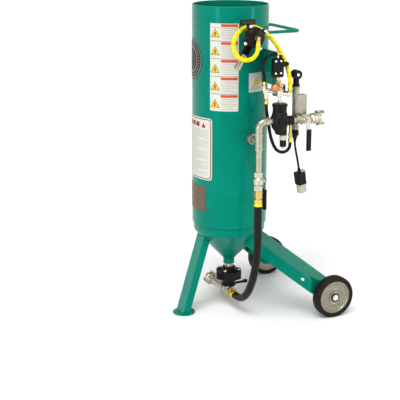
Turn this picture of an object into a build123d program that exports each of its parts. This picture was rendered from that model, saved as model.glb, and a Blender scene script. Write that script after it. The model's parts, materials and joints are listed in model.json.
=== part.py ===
from build123d import *
import math
import os

# Portable abrasive blast pot: an upright pressure vessel on a front leg and two wheels, with its air
# piping, remote-control valves, hoses and push handle. Millimetres, +Z up, floor at Z = 0. Every piece
# is built about the vessel's axis (X = Y = 0) and moved by FRAME_SHIFT when it is written. The front leg
# points to -Y, the wheels stand at +Y, and the piping is on the +X side.

# ---- Vessel
VESSEL_R = 177.8
WALL = 6.4
VESSEL_IN_R = VESSEL_R - WALL
RIM_Z = 1477.0
COLLAR_Z = 1420.0
HEAD_FLANGE_Z = 1385.0
SEAM_Z = 444.0
HEAD_LAP = 26.0
KNUCKLE_Z = 418.0
CONE_TOP = (160.0, 391.0)
CONE_FOOT = (30.0, 252.0)
NECK_R = 27.0
NECK_Z = 222.0
PORT_R = 47.6
PORT_RING_R = 58.0
PORT_RING_Z = (1346.0, 1374.0)
GASKET_T = 8.0

# ---- Pop-up plunger and its air pipe
PLUNGER_R = 56.0
PLUNGER_TOP_R = 26.0
PLUNGER_Z = 1286.0
PLUNGER_RIM_T = 6.0
STEM_R = 16.5
STEM_LENGTH = 62.0
POPUP_PIPE_R = 21.1
POPUP_PIPE_BORE = 17.5
POPUP_PIPE_TOP = 1285.0

# ---- Undercarriage
WHEEL_R = 101.6
WHEEL_W = 44.5
WHEEL_X = 340.0
WHEEL_Y = 390.0
RIM_R = 79.0
HUB_R = 18.0
HUB_OVERHANG = 1.7
BUSH_R = 10.3
AXLE_R = 8.0
AXLE_CLEARANCE = 0.05
AXLE_PLATE_X = (290.0, 300.0)
AXLE_END_X = 374.0
REAR_CHANNEL = (152.4, 55.0, 7.0)
REAR_LEG_PLAN_ANGLE = 50.1
REAR_LEG_SLOPE = 0.648
REAR_LEG_TOP_Z = 468.8
REAR_LEG_END_Y = 440.0
TYRE_CLEAR_Y = 276.0
LEG_HOLE_R = 9.0
LEG_HOLE_RUN = 380.0
LEG_HOLE_DROP = 28.0
FRONT_CHANNEL = (76.2, 36.0, 5.5)
FRONT_LEG_FOOT = (-262.0, 8.0)
FRONT_LEG_TOP = (-158.0, 356.0)
PAD_Y = -240.0
PAD_R = 54.0
PAD_T = 6.0

# ---- Push handle
HANDLE_R = 7.5
HANDLE_Z = 1353.0
HANDLE_HALF = 143.0
HANDLE_Y = 284.0
HANDLE_BEND = 22.0

# ---- Pipe sizes: (outside radius, bore radius)
PIPE_34 = (13.35, 10.45)
PIPE_114 = (21.1, 17.5)
SOCKET_DEPTH = 15.0
FITTING_R = 19.0
BRANCH_R = 27.0

# ---- Air piping
RISER_X = 300.0
RISER_ELBOW_Z = 976.0
INLET_RUN_Z = 971.0
ELBOW_BEND = 30.0
INLET_TEE_Z = 886.0
INLET_TEE_HALF = 38.0
INLET_BRANCH_X = 262.0
CHOKE_Z = (659.0, 746.0)
HOSE_END_Z = (601.0, 659.0)
FERRULE_Z = 586.0
AIR_VALVE_Y = (188.0, 262.0)
COUPLING_END_Y = 331.0
BOSS_X = (165.0, 200.0)
BOSS_R = 21.0

# ---- Ball valves
BALL_R = 14.0
BALL_SEAT_R = 14.4
BALL_BORE_R = 10.4
BALL_STEM_R = 5.0
STEM_HOLE_R = 5.4
LEVER_T = 3.0
LEVER_W = 17.0
CHOKE_LEVER_X = 32.0
AIR_LEVER_X = 41.0
AIR_LEVER_SIDE = 8.0

# ---- Remote-control inlet valve
INLET_VALVE_Y = 103.0
INLET_VALVE_PORTS_Y = (64.0, 169.0)
INLET_VALVE_TOP = 1054.0
INLET_CAP_Z = 975.0
FILTER_Y = 123.0
FILTER_Z = (842.0, 909.0)
PISTON_R = 19.6
PISTON_BORE_R = 20.0

# ---- Exhaust valve
EXHAUST_Y = -2.0
EXHAUST_Z = 1349.0
EXHAUST_BOLT_CIRCLE_R = 55.5
EXHAUST_BOLT_TURN = 26.0
EXHAUST_BACK_X = 222.0
EXHAUST_SPLIT_X = 243.0
EXHAUST_FRONT_X = 275.0
EXHAUST_OUTLET_TILT = 30.5
EXHAUST_OUTLET_END = 104.0
EXHAUST_PIPE_END = 160.0
TAG_Y = (-79.0, -5.0)
TAG_Z = (1407.0, 1430.0)
VENT_ELBOW_X = 292.0
VENT_ELBOW_Y = -7.0

# ---- Media valve and mixing tee
RUN_Z = 76.0
MEDIA_Z = (117.0, 204.0)
MEDIA_FLATS = 120.0
COUPLING_FACE_X = -230.0

# ---- Hoses: radii
PUSHER_R = 18.0
VENT_R = 9.5
SIGNAL_R = 7.5
PIGTAIL_R = 5.0

# ---- Electric control
BLOCK_X = (278.0, 304.0)
BLOCK_Y = (67.0, 118.0)
BLOCK_Z = (1172.0, 1256.0)
BRACKET_Y = (92.0, 98.0)
BRACKET_Z = (1130.0, 1283.0)
CONDUIT_X = 258.0
CONDUIT_Y = 208.0
CONDUIT_Z = (919.0, 1117.0)
CONDUIT_BOX_Z = (980.0, 1078.0)
CONDUIT_R = 15.5
CONNECTOR_Z = 1172.0
PLUG_TOP = (258.0, 236.0, 712.0)
PLUG_AXIS = (0.0, 0.1745, -0.9847)
PLUG_BODY = (48.0, 44.0, 57.0)
PLUG_FACE_R = 23.0

# ---- Signal manifold and its arms
MANIFOLD_Y = INLET_VALVE_Y
MANIFOLD_Z = (1084.0, 1142.0)
ARM_X = 278.0
ARM_UP_Y = 36.0
ARM_DOWN_Y = 46.0
ARM_UP_Z = (1134.0, 1152.0)
ARM_DOWN_Z = (1051.0, 1077.0)
VENT_ARM_Y = 154.0
VENT_ARM_Z = (1080.0, 1102.0)
PETCOCK_Z = 1126.0
LOOP_FOOT_Y = 160.0
LOOP_FOOT_Z = 870.0
SUPPLY_X = 291.0
SUPPLY_FERRULE_Y = 88.0
SUPPLY_FERRULE_Z = 1277.0
FERRULE_T = 15.0

# The frame's origin is the middle of the footprint, so the vessel's axis stands at this Y.
FRONT_Y = PAD_Y - PAD_R
REAR_Y = WHEEL_Y + WHEEL_R
FRAME_SHIFT = Pos(0, -(FRONT_Y + REAR_Y) / 2, 0)

X_AXIS = (1, 0, 0)
Y_AXIS = (0, 1, 0)
Z_AXIS = (0, 0, 1)


# ---- Shape helpers
def at(x, y, z, direction=Z_AXIS):
    """Place whose local Z runs along direction from the point."""
    return Plane(origin=(x, y, z), z_dir=direction).location


def turned(profile, place=Location(), sweep_angle=360):
    """Solid of revolution about local Z from an outline of (radius, height) corners."""
    outline = Polyline(*[(radius, 0, height) for radius, height in profile], close=True)
    return place * revolve(make_face(outline), Axis.Z, sweep_angle)


def rod(start, end, radius, bore=0.0):
    """Round bar or tube from one point to another."""
    run = Vector(*end) - Vector(*start)
    outline = [(bore, 0), (radius, 0), (radius, run.length), (bore, run.length)]
    return turned(outline, at(*start, direction=run))


def hex_rod(start, end, across_flats):
    """Hexagonal bar from one point to another."""
    run = Vector(*end) - Vector(*start)
    return at(*start, direction=run) * extrude(RegularPolygon(across_flats / math.sqrt(3), 6), run.length)


def block(low, high):
    """Box between two opposite corners."""
    size = [b - a for a, b in zip(low, high)]
    middle = [(a + b) / 2 for a, b in zip(low, high)]
    return Pos(*middle) * Box(*size)


def sector(inner, outer, low, high, middle_angle, width_angle):
    """Part of a ring about Z, centred on an angle."""
    start = Rot(0, 0, middle_angle - width_angle / 2)
    profile = [(inner, low), (outer, low), (outer, high), (inner, high)]
    return start * turned(profile, sweep_angle=width_angle)


def bend(radius, bore, turn_radius, corner_frame, degrees=90):
    """Quarter-turn of pipe in a frame: it starts on local X and turns to local Y."""
    section = Circle(radius) - Circle(bore) if bore else Circle(radius)
    face = Plane.XZ * Pos(turn_radius, 0, 0) * section
    return corner_frame.location * revolve(face, Axis.Z, degrees)


def joined(*pieces):
    """One solid from overlapping pieces."""
    whole = pieces[0]
    for piece in pieces[1:]:
        whole = whole + piece
    return whole


def cord(points, radius, name):
    """Round tube along straight runs joined by arcs, each as large as its two runs allow."""
    stops = [Vector(*point) for point in points]
    runs = [b - a for a, b in zip(stops, stops[1:])]
    radii = []
    for before, after in zip(runs, runs[1:]):
        half_turn = math.radians(before.get_angle(after)) / 2
        radii.append(0.45 * min(before.length, after.length) / math.tan(half_turn))
    path = FilletPolyline(*stops, radius=radii)
    tube = sweep(Plane(origin=stops[0], z_dir=runs[0]) * Circle(radius), path=path)
    ratio = tube.volume / (math.pi * radius**2 * path.length)
    print(name, "length", round(path.length), "volume ratio", round(ratio, 3))
    print("  bend radii", [round(r) for r in radii])
    return tube


# ---- Pressure vessel
def outer_envelope():
    """Everything inside the vessel's outer surface, for trimming what is welded to it."""
    foot_r, foot_z = CONE_FOOT
    profile = [(0, NECK_Z), (NECK_R, NECK_Z), (foot_r, foot_z), CONE_TOP, (VESSEL_IN_R, KNUCKLE_Z)]
    profile += [(VESSEL_IN_R, SEAM_Z), (VESSEL_R, SEAM_Z), (VESSEL_R, RIM_Z), (0, RIM_Z)]
    return turned(profile)


def boss_at(y, z):
    return rod((BOSS_X[0], y, z), (BOSS_X[1], y, z), BOSS_R, PIPE_34[0])


def boss_holes():
    reach = BOSS_X[1] + 10
    return rod((BOSS_X[0] - 25, 0, INLET_TEE_Z), (reach, 0, INLET_TEE_Z), BOSS_R) + rod(
        (BOSS_X[0] - 25, EXHAUST_Y, EXHAUST_Z), (reach, EXHAUST_Y, EXHAUST_Z), BOSS_R
    )


def pressure_shell():
    return rod((0, 0, SEAM_Z), (0, 0, HEAD_FLANGE_Z), VESSEL_R, VESSEL_IN_R) - boss_holes()


def collar():
    ring = rod((0, 0, COLLAR_Z), (0, 0, RIM_Z), VESSEL_R, VESSEL_IN_R)
    outer_top = ring.edges().filter_by(GeomType.CIRCLE).group_by(Axis.Z)[-1].sort_by(SortBy.RADIUS)[-1]
    return fillet(outer_top, WALL / 2)


def dished_outline(outer, inner, sag):
    """Arc of the concave head between two (radius, height) ends."""
    middle = ((outer[0] + inner[0]) / 2, 0, (outer[1] + inner[1]) / 2 - sag)
    return ThreePointArc((outer[0], 0, outer[1]), middle, (inner[0], 0, inner[1]))


def top_head():
    """Concave head: an outer band in line with the shell, and a bowl down to the filling port."""
    band_top = (VESSEL_IN_R, COLLAR_Z)
    bowl_top = (VESSEL_IN_R, COLLAR_Z - 11)
    port_top = (PORT_RING_R, PORT_RING_Z[1] - 6)
    port_low = (PORT_RING_R, port_top[1] - WALL)
    bowl_low = (VESSEL_IN_R, bowl_top[1] - WALL)
    corners = [bowl_low, (VESSEL_IN_R, HEAD_FLANGE_Z), (VESSEL_R, HEAD_FLANGE_Z), (VESSEL_R, COLLAR_Z)]
    corners += [band_top, bowl_top]
    band = Polyline(*[(r, 0, z) for r, z in corners])
    lip = Line((port_top[0], 0, port_top[1]), (port_low[0], 0, port_low[1]))
    outline = band + dished_outline(bowl_top, port_top, 9) + lip + dished_outline(bowl_low, port_low, 9)
    return revolve(make_face(outline), Axis.Z)


def bottom_head():
    """Hopper head: a band inside the shell's edge, a rounded knuckle, a cone and a threaded neck."""
    def wall_line(inset, neck_r):
        band_r = VESSEL_IN_R - inset
        knuckle = ThreePointArc(
            (band_r, 0, KNUCKLE_Z),
            (CONE_TOP[0] + 8.6 - inset, 0, CONE_TOP[1] + 11 + inset * 0.3),
            (CONE_TOP[0] - inset * 0.8, 0, CONE_TOP[1] + inset * 0.75),
        )
        band = Line((band_r, 0, SEAM_Z + HEAD_LAP), (band_r, 0, KNUCKLE_Z))
        cone_foot = (CONE_FOOT[0] - inset * 0.8, 0, CONE_FOOT[1] + inset * 0.75)
        cone = Line(knuckle @ 1, cone_foot)
        neck_top = (neck_r, 0, CONE_FOOT[1] - 6 + inset * 0.6)
        return band + knuckle + cone + Line(cone_foot, neck_top) + Line(neck_top, (neck_r, 0, NECK_Z))

    outside = wall_line(0, NECK_R)
    inside = wall_line(WALL, PIPE_114[1])
    top = Line((VESSEL_IN_R, 0, SEAM_Z + HEAD_LAP), (VESSEL_IN_R - WALL, 0, SEAM_Z + HEAD_LAP))
    foot = Line((NECK_R, 0, NECK_Z), (PIPE_114[1], 0, NECK_Z))
    head = revolve(make_face(outside + inside + top + foot), Axis.Z)
    return head - rod((0, 0, NECK_Z - 1), (0, 0, NECK_Z + SOCKET_DEPTH), PIPE_114[0])


def port_ring():
    return rod((0, 0, PORT_RING_Z[0]), (0, 0, PORT_RING_Z[1]), PORT_RING_R, PORT_R)


def popup_plunger():
    """Mushroom valve: a cone that rises against the port's gasket, on a hollow-pipe guide stem."""
    cone_z = PLUNGER_Z + PLUNGER_RIM_T
    tip_z = cone_z + PLUNGER_R - PLUNGER_TOP_R
    profile = [(0, PLUNGER_Z - STEM_LENGTH), (STEM_R, PLUNGER_Z - STEM_LENGTH), (STEM_R, PLUNGER_Z)]
    profile += [(PLUNGER_R, PLUNGER_Z), (PLUNGER_R, cone_z), (PLUNGER_TOP_R, tip_z), (0, tip_z + 4)]
    return turned(profile)


def popup_pipe():
    upright = rod((0, 0, INLET_TEE_Z - 24), (0, 0, POPUP_PIPE_TOP), POPUP_PIPE_R)
    feed = rod((0, 0, INLET_TEE_Z), (BOSS_X[0], 0, INLET_TEE_Z), PIPE_34[0])
    upright_bore = rod((0, 0, INLET_TEE_Z - 18), (0, 0, POPUP_PIPE_TOP + 1), POPUP_PIPE_BORE)
    feed_bore = rod((0, 0, INLET_TEE_Z), (BOSS_X[0] + 1, 0, INLET_TEE_Z), PIPE_34[1])
    return upright + feed - upright_bore - feed_bore


def vessel_bosses():
    return [boss_at(0, INLET_TEE_Z), boss_at(EXHAUST_Y, EXHAUST_Z)]


def data_plate():
    return sector(VESSEL_R, VESSEL_R + 1.5, 517, 640, -90, 51)


# ---- Legs, handle and wheels
def channel(width, depth, thickness, length):
    """Rolled channel: web on local y = 0, flanges to +y, extruded along local z."""
    outline = Polyline(
        (-width / 2, 0),
        (width / 2, 0),
        (width / 2, depth),
        (width / 2 - thickness, depth),
        (width / 2 - thickness, thickness),
        (-width / 2 + thickness, thickness),
        (-width / 2 + thickness, depth),
        (-width / 2, depth),
        close=True,
    )
    return extrude(make_face(outline), length)


def front_leg():
    foot_y, foot_z = FRONT_LEG_FOOT
    top_y, top_z = FRONT_LEG_TOP
    run = Vector(0, top_y - foot_y, top_z - foot_z)
    start = Vector(0, foot_y, foot_z) - run * 0.1
    frame = Plane(origin=start, x_dir=X_AXIS, z_dir=run)
    leg = frame.location * channel(*FRONT_CHANNEL, run.length * 1.35)
    below_pad = block((-100, -400, -200), (100, 0, PAD_T))
    return leg - below_pad - outer_envelope()


def foot_pad():
    pad = rod((0, PAD_Y, 0), (0, PAD_Y, PAD_T), PAD_R)
    return fillet(pad.edges().group_by(Axis.Z)[-1], 2)


def rear_leg_right():
    """Wide channel, web up, from the hopper head down to the axle plate beside the wheel."""
    plan = math.radians(REAR_LEG_PLAN_ANGLE)
    out = Vector(math.cos(plan), math.sin(plan), 0)
    across = Vector(math.sin(plan), -math.cos(plan), 0)
    down_leg = out - Vector(0, 0, REAR_LEG_SLOPE)
    start = out * 90 + Vector(0, 0, REAR_LEG_TOP_Z - 90 * REAR_LEG_SLOPE)
    frame = Plane(origin=start, x_dir=across, z_dir=down_leg)
    leg = frame.location * channel(*REAR_CHANNEL, 620)
    low, high = AXLE_PLATE_X
    leg -= block((high, TYRE_CLEAR_Y, -300), (700, 900, 400))
    leg -= block((-200, REAR_LEG_END_Y, -300), (700, 1200, 400))
    leg -= block((-400, -400, -300), (2, 900, 600))
    hole = out * LEG_HOLE_RUN + across * REAR_CHANNEL[0] / 2
    hole += Vector(0, 0, REAR_LEG_TOP_Z - REAR_LEG_SLOPE * LEG_HOLE_RUN - LEG_HOLE_DROP)
    leg -= rod(hole - across * 15, hole + across * 15, LEG_HOLE_R)

    def web_z(y):
        return REAR_LEG_TOP_Z - REAR_LEG_SLOPE * (high * out.X + y * out.Y) - 5

    end = REAR_LEG_END_Y
    corners = [(262, web_z(262)), (262, 146), (350, 72), (end, 60), (end, web_z(end))]
    plate = extrude(make_face(Polyline(*[(low, y, z) for y, z in corners], close=True)), high - low, X_AXIS)
    axle_hole = rod((low - 1, WHEEL_Y, WHEEL_R), (high + 1, WHEEL_Y, WHEEL_R), AXLE_R)
    return leg + plate - axle_hole - outer_envelope()


def push_handle():
    path = FilletPolyline(
        (HANDLE_HALF, 80, HANDLE_Z),
        (HANDLE_HALF, HANDLE_Y, HANDLE_Z),
        (-HANDLE_HALF, HANDLE_Y, HANDLE_Z),
        (-HANDLE_HALF, 80, HANDLE_Z),
        radius=HANDLE_BEND,
    )
    bar = sweep(Plane(origin=(HANDLE_HALF, 80, HANDLE_Z), z_dir=Y_AXIS) * Circle(HANDLE_R), path=path)
    return bar - outer_envelope()


def wheel_place(side):
    """Wheel frame: local Z points outwards from the wheel's inner face."""
    inner_x = WHEEL_X - WHEEL_W / 2
    return at(side * inner_x, WHEEL_Y, WHEEL_R, (side, 0, 0))


def tyre(side):
    ring = rod((0, 0, 0), (0, 0, WHEEL_W), WHEEL_R, RIM_R)
    tread_edges = ring.edges().filter_by(GeomType.CIRCLE).sort_by(SortBy.RADIUS)[-2:]
    return wheel_place(side) * fillet(tread_edges, 9)


def rim(side):
    """Two pressed discs on a hub tube, each with a raised bead near its edge and around its hub."""
    hub = rod((0, 0, -HUB_OVERHANG), (0, 0, WHEEL_W + HUB_OVERHANG), HUB_R, BUSH_R)
    profile = [(HUB_R, 35), (44, 34), (70, 34), (73, 37), (RIM_R, 37), (RIM_R, 42.5), (71, 42.5), (68, 38.5)]
    profile += [(46, 38.5), (42, 41), (34, 41), (30, 39), (26, 39), (HUB_R, 42)]
    outer_disc = turned(profile)
    inner_disc = mirror(outer_disc, about=Plane.XY.offset(WHEEL_W / 2))
    place = wheel_place(side)
    return [place * hub, place * outer_disc, place * inner_disc]


def bush(side):
    sleeve = rod((0, 0, -HUB_OVERHANG), (0, 0, WHEEL_W + HUB_OVERHANG), BUSH_R, AXLE_R + AXLE_CLEARANCE)
    return wheel_place(side) * sleeve


def axle_bolt(side):
    """Stub axle: head behind the plate, spacer against the hub, hexagon nut outside."""
    hub_in = WHEEL_X - WHEEL_W / 2 - HUB_OVERHANG - 0.5
    hub_out = WHEEL_X + WHEEL_W / 2 + HUB_OVERHANG + 0.5
    low, high = AXLE_PLATE_X

    def point(x):
        return (side * x, WHEEL_Y, WHEEL_R)

    return joined(
        rod(point(low), point(AXLE_END_X), AXLE_R),
        hex_rod(point(low - 10), point(low), 24),
        rod(point(high), point(hub_in), 13),
        rod(point(hub_out), point(hub_out + 2), 14),
        hex_rod(point(hub_out + 2), point(AXLE_END_X - 1.5), 20),
    )


# ---- Pipe fittings
def inlet_tee():
    low = INLET_TEE_Z - INLET_TEE_HALF
    high = INLET_TEE_Z + INLET_TEE_HALF
    body = joined(
        rod((RISER_X, 0, low), (RISER_X, 0, high), FITTING_R - 2),
        rod((RISER_X, 0, low), (RISER_X, 0, low + 12), FITTING_R),
        rod((RISER_X, 0, high - 12), (RISER_X, 0, high), FITTING_R),
        rod((RISER_X, 0, INLET_TEE_Z), (INLET_BRANCH_X, 0, INLET_TEE_Z), FITTING_R - 2),
        rod((INLET_BRANCH_X + 12, 0, INLET_TEE_Z), (INLET_BRANCH_X, 0, INLET_TEE_Z), FITTING_R),
    )
    body -= rod((RISER_X, 0, low - 1), (RISER_X, 0, high + 1), PIPE_34[1])
    body -= rod((RISER_X, 0, low - 1), (RISER_X, 0, low + SOCKET_DEPTH), PIPE_34[0])
    body -= rod((RISER_X, 0, high - SOCKET_DEPTH), (RISER_X, 0, high + 1), PIPE_34[0])
    body -= rod((RISER_X, 0, INLET_TEE_Z), (INLET_BRANCH_X - 1, 0, INLET_TEE_Z), PIPE_34[1])
    branch_socket = INLET_BRANCH_X + SOCKET_DEPTH
    return body - rod((branch_socket, 0, INLET_TEE_Z), (INLET_BRANCH_X - 1, 0, INLET_TEE_Z), PIPE_34[0])


def riser_elbow():
    """Street elbow: its male foot is in the tee, its mouth faces the inlet valve."""
    corner = Plane(
        origin=(RISER_X, ELBOW_BEND, RISER_ELBOW_Z - ELBOW_BEND), x_dir=(0, -1, 0), z_dir=(-1, 0, 0)
    )
    tee_top = INLET_TEE_Z + INLET_TEE_HALF
    mouth_y = ELBOW_BEND + 16
    shell = joined(
        bend(FITTING_R - 2, PIPE_34[1], ELBOW_BEND, corner),
        rod((RISER_X, 0, tee_top), (RISER_X, 0, RISER_ELBOW_Z - ELBOW_BEND), FITTING_R - 2, PIPE_34[1]),
        rod((RISER_X, 0, tee_top - SOCKET_DEPTH), (RISER_X, 0, tee_top), PIPE_34[0], PIPE_34[1]),
        rod((RISER_X, ELBOW_BEND, RISER_ELBOW_Z), (RISER_X, mouth_y, RISER_ELBOW_Z), FITTING_R, PIPE_34[1]),
    )
    mouth = rod((RISER_X, mouth_y - 12, RISER_ELBOW_Z), (RISER_X, mouth_y + 1, RISER_ELBOW_Z), PIPE_34[0])
    return shell - mouth


def pipe_nipples():
    """Threaded nipples that join the fittings."""
    x = RISER_X
    outer, bore = PIPE_34
    valve_in_y = INLET_VALVE_PORTS_Y[1]
    tee_foot = INLET_TEE_Z - INLET_TEE_HALF
    return [
        rod((x, 0, CHOKE_Z[1] - SOCKET_DEPTH), (x, 0, tee_foot + SOCKET_DEPTH), outer, bore),
        rod((x, ELBOW_BEND + 4, RISER_ELBOW_Z), (x, INLET_VALVE_PORTS_Y[0] + 12, RISER_ELBOW_Z), outer, bore),
        rod((x, valve_in_y - 12, INLET_RUN_Z), (x, AIR_VALVE_Y[0] + SOCKET_DEPTH, INLET_RUN_Z), outer, bore),
        rod((BOSS_X[0] + 10, EXHAUST_Y, EXHAUST_Z), (EXHAUST_BACK_X + 12, EXHAUST_Y, EXHAUST_Z), outer, bore),
        rod((0, 0, MEDIA_Z[1] - 12), (0, 0, NECK_Z + SOCKET_DEPTH), *PIPE_114),
        rod((-BRANCH_R - 27, 0, RUN_Z), (-152, 0, RUN_Z), *PIPE_114),
    ]


def branch_union():
    """Close nipple and hexagon union between the vessel's inlet boss and the tee."""
    z = INLET_TEE_Z
    body = joined(
        rod((BOSS_X[0] + 12, 0, z), (INLET_BRANCH_X + SOCKET_DEPTH, 0, z), PIPE_34[0]),
        hex_rod((BOSS_X[1] + 10, 0, z), (BOSS_X[1] + 22, 0, z), 38),
        rod((BOSS_X[1] + 22, 0, z), (BOSS_X[1] + 40, 0, z), 24),
        hex_rod((BOSS_X[1] + 40, 0, z), (BOSS_X[1] + 50, 0, z), 36),
    )
    return body - rod((BOSS_X[0], 0, z), (INLET_BRANCH_X + 30, 0, z), PIPE_34[1])


# ---- Ball valves: local Z is the pipe run, local X is the stem
def ball_valve_body(length):
    half = length / 2
    body = joined(
        turned([(0, -half + 22), (17, -half + 22), (24, -12), (24, 12), (17, half - 22), (0, half - 22)]),
        hex_rod((0, 0, -half), (0, 0, -half + 24), 36),
        hex_rod((0, 0, half - 24), (0, 0, half), 36),
        rod((0, 0, 0), (30, 0, 0), 10),
    )
    body -= Sphere(BALL_SEAT_R)
    body -= rod((0, 0, -half - 1), (0, 0, half + 1), PIPE_34[1])
    body -= rod((0, 0, -half - 1), (0, 0, -half + SOCKET_DEPTH), PIPE_34[0])
    body -= rod((0, 0, half - SOCKET_DEPTH), (0, 0, half + 1), PIPE_34[0])
    return body - rod((0, 0, 0), (40, 0, 0), STEM_HOLE_R)


def valve_ball(bore_axis, stem_top):
    ball = Sphere(BALL_R) + rod((10, 0, 0), (stem_top, 0, 0), BALL_STEM_R)
    reach = Vector(*bore_axis) * 20
    return ball - rod(-reach, reach, BALL_BORE_R)


def valve_lever(plate_x, reach, side=0.0):
    """Flat steel handle on the stem, hanging along local -Z, its dipped grip set over to one side."""
    half = LEVER_W / 2
    outline = Polyline((-half - 3, 0), (half + 3, 0), (side + half, -64), (side - half, -64), close=True)
    plate_face = Plane(origin=(plate_x, 0, 0), x_dir=Y_AXIS, z_dir=X_AXIS)
    strip = plate_face.location * extrude(make_face(outline), LEVER_T)
    plate = strip + rod((plate_x, 0, 0), (plate_x + LEVER_T, 0, 0), 13)
    plate -= rod((plate_x - 1, 0, 0), (plate_x + LEVER_T + 1, 0, 0), BALL_STEM_R)
    nut = hex_rod((plate_x + LEVER_T, 0, 0), (plate_x + LEVER_T + 6, 0, 0), 15)
    nut -= rod((plate_x, 0, 0), (plate_x + 20, 0, 0), BALL_STEM_R)
    grip = block((plate_x - 5, side - 12, -reach), (plate_x + LEVER_T + 5, side + 12, -40))
    grip = fillet(grip.edges().filter_by(Axis.Z), 5.5)
    grip = fillet(grip.edges().group_by(Axis.Z)[0], 4)
    return [plate, nut, grip - strip]


CHOKE_PLACE = Plane(
    origin=(RISER_X, 0, (CHOKE_Z[0] + CHOKE_Z[1]) / 2), x_dir=Y_AXIS, z_dir=Z_AXIS
).location
AIR_VALVE_PLACE = Plane(
    origin=(RISER_X, (AIR_VALVE_Y[0] + AIR_VALVE_Y[1]) / 2, INLET_RUN_Z), x_dir=X_AXIS, z_dir=Y_AXIS
).location
AIR_LEVER_PLACE = Pos(RISER_X, (AIR_VALVE_Y[0] + AIR_VALVE_Y[1]) / 2, INLET_RUN_Z)


# ---- Claw couplings: local Z points out of the open face
def claw_coupling(length, bore):
    """Twist-lock hose coupling with two hooks, two ramps and a gasket seat."""
    face = length - 24
    profile = [(0, 0), (20, 0), (20, 18), (25, 22), (25, face - 14), (31, face - 8), (31, face), (0, face)]
    body = joined(
        turned(profile),
        hex_rod((0, 0, 4), (0, 0, 18), 42),
        *[sector(22, 34, face - 12, length - 2, middle, 44) for middle in (0, 180)],
        *[sector(24, 34, length - 12, length - 2, middle + 34, 34) for middle in (0, 180)],
        *[sector(24, 33, face - 10, face + 3, middle, 50) for middle in (95, 275)],
    )
    body -= rod((0, 0, -1), (0, 0, length), bore)
    return body - rod((0, 0, face - 7), (0, 0, length), 17)


def coupling_gasket(length, bore):
    face = length - 24
    return rod((0, 0, face - 7), (0, 0, face + 3), 17, bore)


BLAST_PLACE = at(-150, 0, RUN_Z, (-1, 0, 0)) * Rot(0, 0, 35)
BLAST_LENGTH = -150 - COUPLING_FACE_X
BLAST_BORE = 14.0
AIR_COUPLING_PLACE = Plane(
    origin=(RISER_X, AIR_VALVE_Y[1] - 4, INLET_RUN_Z), x_dir=(0.3, 0, -1), z_dir=Y_AXIS
).location
AIR_COUPLING_LENGTH = COUPLING_END_Y - AIR_VALVE_Y[1] + 4
AIR_BORE = 11.0


def air_coupling():
    """Inlet coupling: its male shank is screwed into the air valve."""
    body = claw_coupling(AIR_COUPLING_LENGTH, AIR_BORE)
    shank = rod((0, 0, -9), (0, 0, 1), PIPE_34[0], PIPE_34[1])
    clear_of_valve = rod((0, 0, -12), (0, 0, 4.3), 60) - rod((0, 0, -12), (0, 0, 5), PIPE_34[0])
    return AIR_COUPLING_PLACE * (body - clear_of_valve + shank)


def gaskets():
    port = rod((0, 0, PORT_RING_Z[0] - GASKET_T), (0, 0, PORT_RING_Z[0]), PORT_RING_R, PORT_R)
    blast = BLAST_PLACE * coupling_gasket(BLAST_LENGTH, BLAST_BORE)
    air = AIR_COUPLING_PLACE * coupling_gasket(AIR_COUPLING_LENGTH, AIR_BORE)
    return [port, blast, air]


# ---- Media valve, mixing tee and blast outlet
def media_bolt_points():
    turns = [math.radians(45 + 90 * index) for index in range(4)]
    return [(50 * math.cos(turn), 50 * math.sin(turn)) for turn in turns]


def media_valve_body():
    low, high = MEDIA_Z
    body = joined(
        turned([(0, low), (30, low), (30, low + 12), (56, low + 26), (56, low + 30), (0, low + 30)]),
        Pos(0, 0, low + 28) * extrude(RegularPolygon(MEDIA_FLATS / 2, 8, major_radius=False), 38),
        turned([(0, low + 66), (50, low + 66), (36, high - 16), (30, high), (0, high)]),
        *[rod((x, y, low + 24), (x, y, high - 14), 10) for x, y in media_bolt_points()],
    )
    body -= rod((0, 0, low - 1), (0, 0, high + 1), PIPE_114[1])
    body -= rod((0, 0, high - 12), (0, 0, high + 1), PIPE_114[0])
    body -= rod((0, 0, low - 1), (0, 0, low + 12), PIPE_114[0])
    for x, y in media_bolt_points():
        body -= rod((x, y, high - 40), (x, y, high), 4)
    return body


def media_valve_lever():
    """Shut-off lever: a collar that turns on the tee's neck, with an arm and a knob."""
    z = MEDIA_Z[0] - 10
    arm = joined(
        rod((0, 0, z), (0, 0, z + 9), 36, BRANCH_R + 0.6),
        block((-8, 33, z), (8, 92, z + 7)),
        rod((0, 92, z - 1), (0, 92, z + 10), 11),
    )
    return arm - rod((0, 0, z - 1), (0, 0, z + 20), BRANCH_R + 0.6)


def mixing_tee():
    end_low, end_high = -BRANCH_R - 18, BRANCH_R + 8
    body = joined(
        rod((end_low, 0, RUN_Z), (end_high, 0, RUN_Z), BRANCH_R - 3),
        rod((end_low, 0, RUN_Z), (end_low + 12, 0, RUN_Z), BRANCH_R),
        rod((end_high - 12, 0, RUN_Z), (end_high, 0, RUN_Z), BRANCH_R),
        rod((0, 0, RUN_Z), (0, 0, MEDIA_Z[0]), BRANCH_R),
        rod((0, 0, MEDIA_Z[0]), (0, 0, MEDIA_Z[0] + 12), PIPE_114[0]),
    )
    body -= rod((end_low - 1, 0, RUN_Z), (end_high + 1, 0, RUN_Z), PIPE_114[1])
    body -= rod((0, 0, RUN_Z), (0, 0, MEDIA_Z[0] + 20), PIPE_114[1])
    body -= rod((end_low - 1, 0, RUN_Z), (end_low + SOCKET_DEPTH, 0, RUN_Z), PIPE_114[0])
    return body - rod((end_high - SOCKET_DEPTH, 0, RUN_Z), (end_high + 1, 0, RUN_Z), PIPE_114[0])


def blast_coupling():
    body = BLAST_PLACE * claw_coupling(BLAST_LENGTH, BLAST_BORE)
    return body - rod((-149, 0, RUN_Z), (-152, 0, RUN_Z), PIPE_114[0])


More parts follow.
